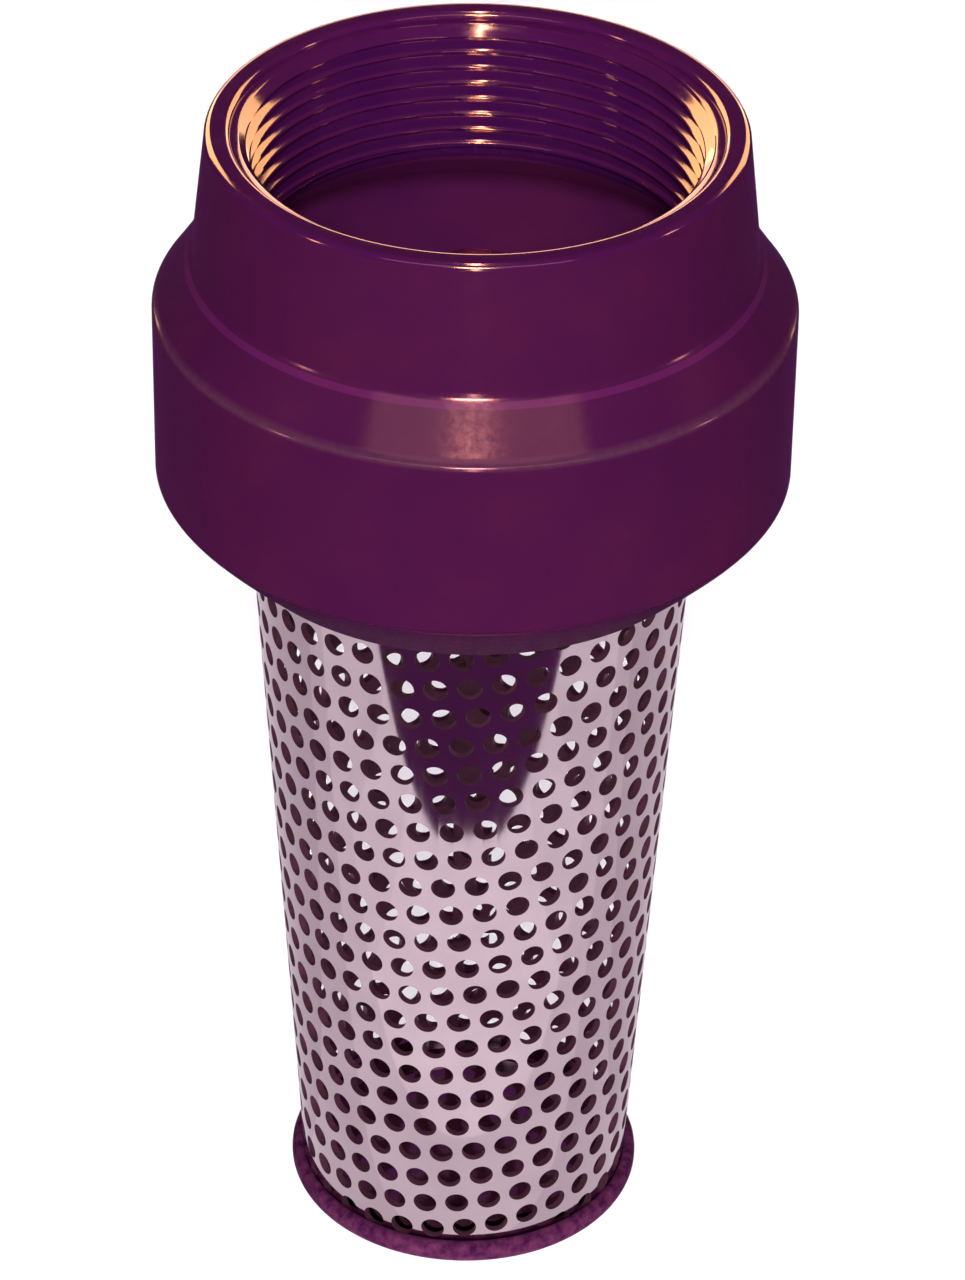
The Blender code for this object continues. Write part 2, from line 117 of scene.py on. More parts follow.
def finish_mesh(name, shape, sharp=40.0):
    """Turns the bmesh into a smooth object that stays crisp where it bends by more than sharp degrees."""
    bmesh.ops.remove_doubles(shape, verts=shape.verts[:], dist=1e-7)
    bmesh.ops.recalc_face_normals(shape, faces=shape.faces[:])
    mesh = bpy.data.meshes.new(name)
    shape.to_mesh(mesh)
    shape.free()
    mesh.shade_smooth()
    mesh.set_sharp_from_angle(angle=math.radians(sharp))
    obj = bpy.data.objects.new(name, mesh)
    bpy.context.scene.collection.objects.link(obj)
    return obj


def turned(name, outline, steps, radius_at=None, sharp=40.0):
    """The closed outline spun about Z. Where a radius is None, radius_at(height, angle) gives it."""
    shape = bmesh.new()
    columns = []
    for j in range(steps):
        angle = math.tau * j / steps
        column = []
        for radius, height in outline:
            here = radius_at(height, angle) if radius is None else radius
            column.append(shape.verts.new((here * math.cos(angle), here * math.sin(angle), height)))
        columns.append(column)
    for j in range(steps):
        a, b = columns[j], columns[(j + 1) % steps]
        for i in range(len(outline)):
            k = (i + 1) % len(outline)
            shape.faces.new((a[i], a[k], b[k], b[i]))
    return finish_mesh(name, shape, sharp)


def place(obj, body, node, finish):
    """Rides the piece on its body, hides the CAD node that it stands in for and gives it its finish."""
    obj.data.materials.append(finish)
    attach(obj, body)
    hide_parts(node)
    return obj


# ---------------------------------------------------------------- body

def lower_taper(steps):
    """The outside below the belly, bending in to the lip."""
    start = Vector((BELLY_R, BELLY_LOW_Z))
    knee = Vector((BELLY_R, BELLY_LOW_Z - TAPER_KNEE))
    end = Vector((LIP_R, LIP_Z))
    points = []
    for i in range(steps + 1):
        t = i / steps
        points.append(tuple(start * (1 - t) ** 2 + knee * (2 * t * (1 - t)) + end * t * t))
    return points


def thread_wave(turns):
    """0 at the crest and 1 at the root of a 60 degree thread, with its corners eased."""
    flat, roundness = 0.06, 0.25
    ramp = 1.0 - abs(2.0 * (turns % 1.0) - 1.0)
    ramp = clamped((ramp - flat) / (1.0 - 2.0 * flat))
    return (1.0 - roundness) * ramp + roundness * eased(ramp)


def bore_radius(height, angle):
    """The tapered thread, opened by the countersink above."""
    crest = THREAD_CREST_R - THREAD_TAPER * (HEIGHT - height)
    run_out = clamped((height - THREAD_LOW_Z) / (0.6 * PITCH))
    thread = crest + THREAD_DEPTH * thread_wave(height / PITCH - angle / math.tau) * run_out
    countersink = MOUTH_R - (HEIGHT - height)
    return min(max(thread, countersink), MOUTH_R)


def make_body():
    """The casting's outside, its stepped underside, the chamber, and the pipe thread as a real helix."""
    rim_round, shoulder_round, lip_round, mouth_round = 1.0 * MM, 1.1 * MM, 0.5 * MM, 0.9 * MM
    fillet, lip_chamfer, ledge_chamfer = 0.8 * MM, 0.3 * MM, 0.2 * MM
    seat_groove_top = FLANGE_TOP_Z + SEAT_GROOVE_HEIGHT
    outline = arc((COLLAR_R - rim_round, HEIGHT - rim_round), rim_round, 90, 0, 8)
    outline += straight(outline[-1], (COLLAR_BASE_R - 0.06 * fillet, COLLAR_BASE_Z + fillet), 12)
    outline += [(COLLAR_BASE_R - 0.01 * fillet, COLLAR_BASE_Z + 0.50 * fillet),
                (COLLAR_BASE_R + 0.10 * fillet, COLLAR_BASE_Z + 0.13 * fillet),
                (COLLAR_BASE_R + 0.27 * fillet, COLLAR_BASE_Z - 0.20 * fillet),
                (COLLAR_BASE_R + 0.50 * fillet, COLLAR_BASE_Z - 0.55 * fillet)]
    shoulder = arc((BELLY_R - shoulder_round, BELLY_TOP_Z - shoulder_round), shoulder_round, 50, 0, 8)
    outline += straight(outline[-1], shoulder[0], 8)[:-1] + shoulder
    taper = lower_taper(20)
    outline += straight(shoulder[-1], taper[0], 14)[:-1] + taper[:-1]
    outline += arc((LIP_R - lip_round, LIP_Z + lip_round), lip_round, -20, -90, 4)
    outline += [
        (RECESS_R + lip_chamfer, LIP_Z),
        (RECESS_R, LIP_Z + lip_chamfer),
        (RECESS_R, SCREEN_GROOVE_Z[0]),
        (RECESS_R + SCREEN_GROOVE_DEPTH, SCREEN_GROOVE_Z[0]),
        (RECESS_R + SCREEN_GROOVE_DEPTH, SCREEN_GROOVE_Z[1]),
        (RECESS_R, SCREEN_GROOVE_Z[1]),
        (RECESS_R, LEDGE_LOW_Z),
        (LEDGE_R + ledge_chamfer, LEDGE_LOW_Z),
        (LEDGE_R, LEDGE_LOW_Z + ledge_chamfer),
        (LEDGE_R, LEDGE_TOP_Z),
        (THROAT_R, LEDGE_TOP_Z),
        (THROAT_R, FLANGE_TOP_Z),
        (THROAT_R + SEAT_GROOVE_DEPTH, FLANGE_TOP_Z),
        (THROAT_R + SEAT_GROOVE_DEPTH, seat_groove_top),
        (THROAT_R, seat_groove_top),
        (THROAT_R, seat_groove_top + 0.5 * MM),
        (THROAT_R + 0.4 * MM, seat_groove_top + 0.8 * MM),
    ]
    low_r, high_r = CHAMBER_CORNER_R
    low_z, high_z = CHAMBER_CORNER_Z
    outline += arc((CHAMBER_R - low_r, low_z), low_r, -60, 0, 8)
    outline += straight(outline[-1], (CHAMBER_R, high_z), 4)[:-1]
    outline += arc((CHAMBER_R - high_r, high_z), high_r, 0, 50, 8)
    relief_r = THREAD_CREST_R - THREAD_TAPER * (HEIGHT - THREAD_LOW_Z) + RELIEF_DEPTH
    outline += straight(outline[-1], (relief_r, RELIEF_Z[0]), 4)
    outline += [(relief_r, z) for z in RELIEF_Z[1:]]
    levels_per_turn = 16
    levels = round((HEIGHT - THREAD_LOW_Z) / PITCH * levels_per_turn)
    threaded = [THREAD_LOW_Z + (HEIGHT - THREAD_LOW_Z) * i / levels for i in range(levels)]
    outline += [(None, height) for height in threaded if height < HEIGHT - mouth_round]
    outline += arc((MOUTH_R + mouth_round, HEIGHT - mouth_round), mouth_round, 180, 90, 6)
    return turned("valve_body_cast", outline, 192, bore_radius, sharp=50.0)


# ---------------------------------------------------------------- strainer

HOLE_PITCH = 4.42 * MM              # along a row
ROW_GAP = 4.633 * MM
HOLE_R = 1.6 * MM
HOLE_SIDES = 24                     # a multiple of 8, so that each cell gets its corners
ROW_TILT = math.radians(7.35)       # of the rows, against the sheet's front centre line
FIRST_ROW = 1.603 * MM              # row 0's height over the middle of the flat sheet
FIRST_SHIFT = -0.42                 # its first hole, in pitches
ROW_SHIFT, STROKE_SHIFT = 0.115, 0.265      # further shift after each row and each stroke of the punch
ROWS_PER_STROKE = 5
ROWS, COLUMNS = range(-14, 17), range(-40, 60)      # more than the sheet needs, trimmed to its edges
MIDDLE_Z = 60.0 * MM
SCREEN_LOW_Z, SCREEN_HIGH_Z = 2.2 * MM, 109.6 * MM
CONE_SINE = STRAINER_TAPER / math.sqrt(1 + STRAINER_TAPER ** 2)
LAP_AZIMUTH = math.radians(172.0)   # where the outer edge of the sheet's lap lies
LAP = math.radians(13.0)
LAP_DROP = 1.05 * MM


def sheet_r(height):
    """Outer radius of the strainer's sheet."""
    return STRAINER_END_R + STRAINER_TAPER * (height - BAND_H)


def row_shift(row):
    """How far along its line the row's holes start, in pitches."""
    return FIRST_SHIFT + ROW_SHIFT * row + STROKE_SHIFT * math.floor((row + 1) / ROWS_PER_STROKE)


def to_cone(x, y):
    """Azimuth and height of a point of the flat sheet, whose origin is the cone's apex."""
    radius = math.hypot(x, y) * CONE_SINE
    return math.atan2(x, y) / CONE_SINE, BAND_H + (radius - STRAINER_END_R) / STRAINER_TAPER


def flat_sheet():
    """The punched sheet before it is rolled: a cell with a round hole for each place of the lattice."""
    apex = Vector((0.0, sheet_r(MIDDLE_Z) / CONE_SINE))
    along = Vector((math.cos(ROW_TILT), math.sin(ROW_TILT)))
    across = Vector((-math.sin(ROW_TILT), math.cos(ROW_TILT)))
    shape = bmesh.new()
    shared = {}

    def spot(shift, level):
        return apex + along * (shift * HOLE_PITCH) + across * level

    def corner(point):
        key = (round(point.x / (0.01 * MM)), round(point.y / (0.01 * MM)))
        if key not in shared:
            shared[key] = shape.verts.new((point.x, point.y, 0.0))
        return shared[key]

    per_side = HOLE_SIDES // 4
    first, last = LAP_AZIMUTH - math.tau - 0.4, LAP_AZIMUTH + LAP + 0.4
    for row in ROWS:
        level = FIRST_ROW - ROW_GAP * row
        shifts = [row_shift(row + k) for k in (-1, 0, 1)]
        above, below = (shifts[0] + shifts[1]) / 2, (shifts[1] + shifts[2]) / 2
        for column in COLUMNS:
            centre = spot(column + shifts[1], level)
            azimuth, height = to_cone(*centre)
            if not (first < azimuth < last and -6 * MM < height < HEIGHT):
                continue
            corners = [spot(column + above + 0.5, level + ROW_GAP / 2),
                       spot(column + above - 0.5, level + ROW_GAP / 2),
                       spot(column + below - 0.5, level - ROW_GAP / 2),
                       spot(column + below + 0.5, level - ROW_GAP / 2)]
            hole = []
            edge = []
            for k in range(HOLE_SIDES):
                turn = math.tau * k / HOLE_SIDES + math.pi / 4
                reach = along * (HOLE_R * math.cos(turn)) + across * (HOLE_R * math.sin(turn))
                hole.append(shape.verts.new((*(centre + reach), 0.0)))
                side, step = divmod(k, per_side)
                edge.append(corner(corners[side].lerp(corners[(side + 1) % 4], step / per_side)))
            for k in range(HOLE_SIDES):
                n = (k + 1) % HOLE_SIDES
                shape.faces.new((hole[k], hole[n], edge[n], edge[k]))
    return shape


def make_screen():
    """Trims the punched sheet, rolls it into its cone with a lap at the back, and thickens it."""
    shape = flat_sheet()
    for v in shape.verts:
        v.co = (*to_cone(v.co.x, v.co.y), 0.0)
    cuts = (((LAP_AZIMUTH - math.tau, 0, 0), (-1, 0, 0)), ((LAP_AZIMUTH + LAP, 0, 0), (1, 0, 0)),
            ((0, SCREEN_LOW_Z, 0), (0, -1, 0)), ((0, SCREEN_HIGH_Z, 0), (0, 1, 0)))
    for point, normal in cuts:
        bmesh.ops.bisect_plane(shape, geom=shape.verts[:] + shape.edges[:] + shape.faces[:], dist=1e-7,
                               plane_co=point, plane_no=normal, clear_outer=True)
    bmesh.ops.remove_doubles(shape, verts=shape.verts[:], dist=1e-6)
    ease = math.radians(3.0)
    lean = Vector((1.0, STRAINER_TAPER)).normalized()
    outer, inner, normals = {}, {}, {}
    solid = bmesh.new()
    for v in shape.verts:
        azimuth, height = v.co.x, v.co.y
        under = clamped((azimuth - LAP_AZIMUTH) / ease + 1.0)
        radius = sheet_r(height) - LAP_DROP * eased(under)
        out = Vector((math.sin(azimuth), -math.cos(azimuth), 0.0))
        outer[v] = solid.verts.new(out * radius + Vector((0.0, 0.0, height)))
        inner[v] = solid.verts.new(out * (radius - SHEET) + Vector((0.0, 0.0, height)))
        normals[v] = out * lean.x - Vector((0.0, 0.0, lean.y))
    corner_normals = []
    shape.normal_update()

    def add_face(verts, directions, finish):
        face = solid.faces.new(verts)
        face.material_index = finish
        corner_normals.extend(directions)

    for face in shape.faces:
        ring = list(face.verts)
        if face.normal.z < 0:
            ring.reverse()
        add_face([outer[v] for v in ring], [normals[v] for v in ring], 0)
        add_face([inner[v] for v in ring[::-1]], [-normals[v] for v in ring[::-1]], 1)
    for edge in shape.edges:
        if not edge.is_boundary:
            continue
        ring = list(edge.link_loops[0].face.verts)
        if edge.link_loops[0].face.normal.z < 0:
            ring.reverse()
        a, b = edge.verts
        if ring[(ring.index(a) + 1) % len(ring)] is not b:
            a, b = b, a
        verts = [outer[b], outer[a], inner[a], inner[b]]
        across = (outer[a].co - outer[b].co).cross(inner[a].co - outer[a].co).normalized()
        add_face(verts, [across] * 4, 2)
    mesh = bpy.data.meshes.new("strainer_perforated")
    solid.to_mesh(mesh)
    solid.free()
    shape.free()
    mesh.normals_split_custom_set(corner_normals)
    obj = bpy.data.objects.new("strainer_perforated", mesh)
    bpy.context.scene.collection.objects.link(obj)
    return obj


def make_end_band():
    """The rolled cup that the sheet's end sits in, open in the middle of its floor."""
    wall_inner_r, wall_top = sheet_r(BAND_H) + 0.08 * MM, BAND_H - 0.1 * MM
    opening_r, floor_top, chamfer = 19.0 * MM, 1.3 * MM, 0.2 * MM
    top_round, edge_round = 1.3 * MM, 1.8 * MM
    outline = arc((BAND_R - top_round, BAND_H - top_round), top_round, 90, 0, 8)
    outline += arc((BAND_R - edge_round, edge_round), edge_round, 0, -90, 12)
    outline += [(opening_r + chamfer, 0.0), (opening_r, chamfer), (opening_r, floor_top - chamfer),
                (opening_r + chamfer, floor_top), (wall_inner_r, floor_top), (wall_inner_r, wall_top)]
    return turned("strainer_end_cup", outline, 160)


def make_spring(turns=4.0, wire_r=0.45 * MM, coil_r=8.2 * MM):
    """The return spring, whose coils lie flatter towards its ends."""
    low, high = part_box("return_spring")[0].z + wire_r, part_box("return_spring")[1].z - wire_r
    steps, sides, flattening = int(turns * 48), 12, 0.55
    shape = bmesh.new()
    rings = []
    for i in range(steps + 1):
        t = i / steps
        angle = math.tau * turns * t
        rise = (1.0 - flattening) * t + flattening * eased(t)
        out = Vector((math.cos(angle), math.sin(angle), 0.0))
        middle = out * coil_r + Vector((0.0, 0.0, low + (high - low) * rise))
        ring = []
        for k in range(sides):
            turn = math.tau * k / sides
            away = out * math.cos(turn) + Vector((0.0, 0.0, math.sin(turn)))
            ring.append(shape.verts.new(middle + away * wire_r))
        rings.append(ring)
    for a, b in zip(rings, rings[1:]):
        for k in range(sides):
            n = (k + 1) % sides
            shape.faces.new((a[k], a[n], b[n], b[k]))
    shape.faces.new(rings[0][::-1])
    shape.faces.new(rings[-1])
    return finish_mesh("return_spring_wire", shape)


# ---------------------------------------------------------------- materials

class Nodes:
    """Short names for building a material's node tree."""

    def __init__(self, name):
        self.material = bpy.data.materials.new(name)
        self.material.use_nodes = True
        self.tree = self.material.node_tree
        self.shader = self.tree.nodes["Principled BSDF"]
        self.place = self.add("ShaderNodeTexCoord").outputs["Object"]

    def add(self, kind, **settings):
        node = self.tree.nodes.new(kind)
        for key, value in settings.items():
            setattr(node, key, value)
        return node

    def link(self, source, target):
        self.tree.links.new(source, target)

    def constant(self, **values):
        for key, value in values.items():
            self.shader.inputs[key.replace("_", " ")].default_value = value

    def scaled(self, scale):
        node = self.add("ShaderNodeMapping")
        node.inputs["Scale"].default_value = scale
        self.link(self.place, node.inputs["Vector"])
        return node.outputs["Vector"]

    def noise(self, size, detail=3.0, rough=0.5, vector=None):
        node = self.add("ShaderNodeTexNoise")
        node.inputs["Scale"].default_value = 1.0 / size
        node.inputs["Detail"].default_value = detail
        node.inputs["Roughness"].default_value = rough
        self.link(vector or self.place, node.inputs["Vector"])
        return node.outputs["Fac"]

    def ramp(self, source, stops):
        node = self.add("ShaderNodeValToRGB")
        elements = node.color_ramp.elements
        while len(elements) < len(stops):
            elements.new(0.5)
        for element, (position, colour) in zip(elements, stops):
            element.position = position
            element.color = (*colour, 1.0)
        self.link(source, node.inputs["Fac"])
        return node.outputs["Color"]

    def range(self, source, low, high, to_low, to_high):
        node = self.add("ShaderNodeMapRange")
        limits = {"From Min": low, "From Max": high, "To Min": to_low, "To Max": to_high}
        for key, value in limits.items():
            node.inputs[key].default_value = value
        self.link(source, node.inputs["Value"])
        return node.outputs["Result"]

    def product(self, a, b):
        node = self.add("ShaderNodeMath", operation="MULTIPLY")
        self.link(a, node.inputs[0])
        self.link(b, node.inputs[1])
        return node.outputs["Value"]

    def blend(self, factor, source, colour):
        """The source's colour, turning into the given one as factor goes to 1."""
        factor_socket, source_socket, colour_socket, result = 0, 6, 7, 2
        node = self.add("ShaderNodeMix", data_type="RGBA")
        self.link(factor, node.inputs[factor_socket])
        self.link(source, node.inputs[source_socket])
        node.inputs[colour_socket].default_value = (*colour, 1.0)
        return node.outputs[result]

    def bump(self, height, distance, strength):
        node = self.add("ShaderNodeBump")
        node.inputs["Distance"].default_value = distance
        node.inputs["Strength"].default_value = strength
        self.link(height, node.inputs["Height"])
        return node.outputs["Normal"]

    def out(self, **sockets):
        for key, source in sockets.items():
            self.link(source, self.shader.inputs[key.replace("_", " ")])
        return self.material


def dark_bronze(name, lightness=1.0):
    """Dark purple patina with fine casting grain. Paler and faintly metallic where the piece is marked
    bare_and_sheen: rubbed bronze that also paints in a highlight line.
    """
    n = Nodes(name)
    n.constant(IOR=2.0, Specular_Tint=(1.0, 0.45, 0.30, 1.0))
    cloud = n.noise(14 * MM, 4.0, 0.6)
    grain = n.noise(0.9 * MM, 5.0, 0.65)
    shades = (
        (0.30, (0.080, 0.0085, 0.070)),
        (0.55, (0.092, 0.0100, 0.070)),
        (0.75, (0.106, 0.0120, 0.066)),
    )
    patina = n.ramp(cloud, [(at, tuple(lightness * part for part in shade)) for at, shade in shades])
    rough = n.range(grain, 0.3, 0.7, 0.11, 0.18)
    bare_and_sheen = n.add("ShaderNodeAttribute", attribute_name="bare_and_sheen").outputs["Fac"]
    patchy = n.product(bare_and_sheen, n.range(grain, 0.3, 0.7, 0.6, 1.2))
    # Paler pink bronze: wear, and partly a painted highlight line on the belly's top edge
    rubbed_and_sheen = n.range(patchy, 0.05, 1.0, 0.0, 0.12)
    colour = n.blend(rubbed_and_sheen, patina, (0.62, 0.34, 0.34))
    bump = n.bump(grain, 0.02 * MM, 0.25)
    return n.out(Base_Color=colour, Metallic=rubbed_and_sheen, Roughness=rough, Normal=bump)


def cast_bronze(name, patch, dark, light):
    """Dull bronze as it was cast, with patches of the given size."""
    n = Nodes(name)
    n.constant(IOR=1.12)
    blotch = n.noise(patch, 4.0, 0.65)
    grain = n.noise(0.9 * MM, 5.0, 0.65)
    colour = n.ramp(blotch, [(0.35, dark), (0.70, light)])
    rough = n.range(grain, 0.3, 0.7, 0.45, 0.60)
    return n.out(Base_Color=colour, Roughness=rough, Normal=n.bump(grain, 0.05 * MM, 0.35))


def machined_bronze(name):
    """Cut bronze with a dark purple base under a gloss that still mirrors gold."""
    n = Nodes(name)
    n.constant(IOR=3.0, Specular_Tint=(1.0, 0.50, 0.20, 1.0))
    cloud = n.noise(6 * MM, 4.0, 0.6)
    lines = n.noise(0.35 * MM, 3.0, 0.6, n.scaled((0.15, 0.15, 1.0)))
    dark_base = n.ramp(cloud, [(0.3, (0.074, 0.0060, 0.095)), (0.7, (0.090, 0.0085, 0.100))])
    rough = n.range(lines, 0.3, 0.7, 0.07, 0.13)
    return n.out(Base_Color=dark_base, Roughness=rough, Normal=n.bump(lines, 0.02 * MM, 0.3))


def stainless_sheet(name):
    """Bright rolled sheet with a faint grain and a pink cast."""
    n = Nodes(name)
    n.constant(Metallic=1.0)
    streaks = n.noise(1.6 * MM, 3.0, 0.6, n.scaled((1.0, 1.0, 0.12)))
    smudge = n.noise(9 * MM, 3.0, 0.55)
    colour = n.ramp(smudge, [(0.3, (0.50, 0.39, 0.43)), (0.7, (0.56, 0.45, 0.485))])
    rough = n.range(streaks, 0.25, 0.75, 0.04, 0.08)
    return n.out(Base_Color=colour, Roughness=rough, Normal=n.bump(streaks, 0.004 * MM, 0.3))


def dull_dark_sheet(name, metallic, light, dark):
    """A darker, duller copy of the sheet for its inner face and the walls of its holes."""
    n = Nodes(name)
    n.constant(Metallic=metallic)
    smudge = n.noise(4 * MM, 4.0, 0.6)
    colour = n.ramp(smudge, [(0.3, dark), (0.7, light)])
    rough = n.range(smudge, 0.3, 0.7, 0.45, 0.6)
    return n.out(Base_Color=colour, Roughness=rough)


def plain_metal(name, light, dark, rough_low, rough_high):
    """Metal with fine lines round it, as a lathe or a die leaves them."""
    n = Nodes(name)
    n.constant(Metallic=1.0)
    turned_lines = n.noise(0.5 * MM, 4.0, 0.6, n.scaled((0.25, 0.25, 1.0)))
    colour = n.ramp(turned_lines, [(0.3, dark), (0.7, light)])
    rough = n.range(turned_lines, 0.3, 0.7, rough_low, rough_high)
    return n.out(Base_Color=colour, Roughness=rough, Normal=n.bump(turned_lines, 0.02 * MM, 0.3))


def rubber(name):
    """Dull black rubber with a fine grain."""
    n = Nodes(name)
    grain = n.noise(0.6 * MM, 4.0, 0.6)
    colour = n.ramp(grain, [(0.3, (0.012, 0.010, 0.014)), (0.7, (0.030, 0.026, 0.032))])
    rough = n.range(grain, 0.3, 0.7, 0.55, 0.75)
    return n.out(Base_Color=colour, Roughness=rough, Normal=n.bump(grain, 0.05 * MM, 0.3))


# ---------------------------------------------------------------- build

BODY = dark_bronze("dark_bronze")
UNDERSIDE = cast_bronze("cast_bronze", 25 * MM, (0.080, 0.0085, 0.070), (0.106, 0.0120, 0.066))
BAND = cast_bronze("band_bronze", 1.6 * MM, (0.055, 0.0065, 0.050), (0.190, 0.0400, 0.115))
BORE = machined_bronze("machined_bronze")
# The body's patina 1.7 times lighter: painted light that fills in the shade inside the chamber
CHAMBER_PAINTED_LIGHTER = dark_bronze("chamber_bronze_painted_lighter", 1.7)
STEEL_SHEET = stainless_sheet("stainless_sheet")
INNER_DARK_SHEET = dull_dark_sheet("dull_dark_sheet", 0.4, (0.19, 0.055, 0.105), (0.09, 0.026, 0.05))
CUT_EDGE = dull_dark_sheet("punched_edge", 0.6, (0.20, 0.07, 0.115), (0.10, 0.035, 0.055))
TURNED_STEEL = plain_metal("turned_steel", (0.62, 0.56, 0.58), (0.48, 0.43, 0.46), 0.2, 0.35)
SPRING_STEEL = plain_metal("spring_steel", (0.42, 0.39, 0.42), (0.28, 0.26, 0.29), 0.25, 0.4)
BUSH = plain_metal("bush_bronze", (0.60, 0.36, 0.16), (0.42, 0.24, 0.10), 0.25, 0.4)
RUBBER = rubber("black_rubber")

SLOT_FINISH = {
    "body_bronze": BODY, "end_band": BAND, "stainless_sheet": STEEL_SHEET, "spring_steel": SPRING_STEEL,
    "turned_steel": TURNED_STEEL, "black_rubber": RUBBER, "bush_bronze": BUSH,
}


# A band round the belly's top edge: partly rubbed bronze, partly a painted highlight line where a lamp
# shines
WORN_SHEEN_Z, WORN_SHEEN_HALF_HEIGHT, WORN_SHEEN_DEPTH = BELLY_TOP_Z - 0.45 * MM, 0.7 * MM, 1.5 * MM
SOCKET_LOW_Z, SOCKET_R = THREAD_LOW_Z - 3.0 * MM, MOUTH_R + 0.6 * MM
RIM_LOW_Z, UNDERSIDE_Z = HEIGHT - 0.8 * MM, BELLY_LOW_Z - 0.8 * MM


def mark_bare_and_sheen(obj, weight):
    """Stores how far each point is rubbed bare or carries a painted highlight, from weight(radius,
    height).
    """
    marks = [weight(math.hypot(v.co.x, v.co.y), v.co.z) for v in obj.data.vertices]
    attribute = obj.data.attributes.new("bare_and_sheen", "FLOAT", "POINT")
    attribute.data.foreach_set("value", np.array(marks, np.float32))


def body_wear_and_sheen(radius, height):
    """Rubbed bare on the belly's top edge, with a painted highlight line along it all the way round."""
    if radius <= BELLY_R - WORN_SHEEN_DEPTH:
        return 0.0
    return max(0.0, 1.0 - abs(height - WORN_SHEEN_Z) / WORN_SHEEN_HALF_HEIGHT)


def paint_body(obj):
    """Gives the pipe socket and the underside their own finishes, and the chamber's wall a lighter copy
    of the patina, which paints out the shade inside it.
    """
    finishes = [BODY, BORE, CHAMBER_PAINTED_LIGHTER, UNDERSIDE]
    for finish in finishes[1:]:
        obj.data.materials.append(finish)
    for face in obj.data.polygons:
        radius, height = math.hypot(face.center.x, face.center.y), face.center.z
        finish = BODY
        if height > RIM_LOW_Z or (height > SOCKET_LOW_Z and radius < SOCKET_R):
            finish = BORE
        # The chamber's wall gets the lighter copy: painted light in place of its shade
        elif FLANGE_TOP_Z < height < THREAD_LOW_Z and radius < CHAMBER_R + 0.2 * MM:
            finish = CHAMBER_PAINTED_LIGHTER
        elif height < UNDERSIDE_Z:
            finish = UNDERSIDE
        face.material_index = finishes.index(finish)


for entry in frame["record"]["subparts"]:
    obj = frame["nodes"][entry["node"]]
    obj.data.materials.clear()
    obj.data.materials.append(SLOT_FINISH[entry["material_slot"]])
    obj.data.shade_smooth()
    obj.data.set_sharp_from_angle(angle=math.radians(40))

body = place(make_body(), "valve", "valve_body", BODY)
paint_body(body)
mark_bare_and_sheen(body, body_wear_and_sheen)
screen = place(make_screen(), "valve", "strainer_screen", STEEL_SHEET)
screen.data.materials.append(INNER_DARK_SHEET)
screen.data.materials.append(CUT_EDGE)
place(make_end_band(), "valve", "strainer_end_band", BAND)
spring = place(make_spring(), "valve", "return_spring", SPRING_STEEL)
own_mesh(spring)


# ---------------------------------------------------------------- stage, light and camera

FLOOR_FRONT, FLOOR_BACK, FLOOR_SIDE = -102.5 * MM, 360 * MM, 190 * MM
FLOOR_GREY = (0.92, 0.92, 0.92, 1.0)
ROOM_COLOUR, ROOM_STRENGTH = (0.60, 0.12, 0.62, 1.0), 0.15
AIM_Z = 140 * MM                    # the height that the lights look at
LAMP_DISTANCE = 1.2


def add_stage():
    """A matt floor. Its front edge is what the strainer's gloss shows as a dark patch."""
    mesh = bpy.data.meshes.new("floor")
    mesh.from_pydata([(-FLOOR_SIDE, FLOOR_FRONT, 0), (FLOOR_SIDE, FLOOR_FRONT, 0),
                      (FLOOR_SIDE, FLOOR_BACK, 0), (-FLOOR_SIDE, FLOOR_BACK, 0)], [], [(0, 1, 2, 3)])
    floor = bpy.data.objects.new("floor", mesh)
    bpy.context.scene.collection.objects.link(floor)
    paint = bpy.data.materials.new("floor")
    paint.use_nodes = True
    shader = paint.node_tree.nodes["Principled BSDF"]
    shader.inputs["Base Color"].default_value = FLOOR_GREY
    shader.inputs["Roughness"].default_value = 1.0
    shader.inputs["Specular IOR Level"].default_value = 0.0
    mesh.materials.append(paint)
    return floor


def add_world():
    """White where it is seen past the floor, and a dim room for everything else."""
    world = bpy.data.worlds.new("studio")
    bpy.context.scene.world = world
    world.use_nodes = True
    nodes, links = world.node_tree.nodes, world.node_tree.links
    room = nodes["Background"]
    room.inputs["Color"].default_value = ROOM_COLOUR
    room.inputs["Strength"].default_value = ROOM_STRENGTH
    seen = nodes.new("ShaderNodeBackground")
    seen.inputs["Color"].default_value = (1.0, 1.0, 1.0, 1.0)
    mix = nodes.new("ShaderNodeMixShader")
    path = nodes.new("ShaderNodeLightPath")
    links.new(path.outputs["Is Camera Ray"], mix.inputs["Fac"])
    links.new(room.outputs["Background"], mix.inputs[1])
    links.new(seen.outputs["Background"], mix.inputs[2])
    links.new(mix.outputs["Shader"], nodes["World Output"].inputs["Surface"])


def toward(azimuth, elevation):
    """A direction from the valve. Azimuth 0 is the camera's side, positive to its right."""
    a, e = math.radians(azimuth), math.radians(elevation)
    return Vector((math.sin(a) * math.cos(e), -math.cos(a) * math.cos(e), math.sin(e)))


def aim(name, data, away, distance):
    """Places the light that far away in the given direction, looking at the valve."""
    light = bpy.data.objects.new(name, data)
    bpy.context.scene.collection.objects.link(light)
    light.location = Vector((0.0, 0.0, AIM_Z)) + away * distance
    light.rotation_euler = (-away).to_track_quat("-Z", "Y").to_euler()
    return light


def light_only(light, obj):
    """The light reaches that object alone."""
    group = bpy.data.collections.new(light.name)
    group.objects.link(obj)
    light.light_linking.receiver_collection = group


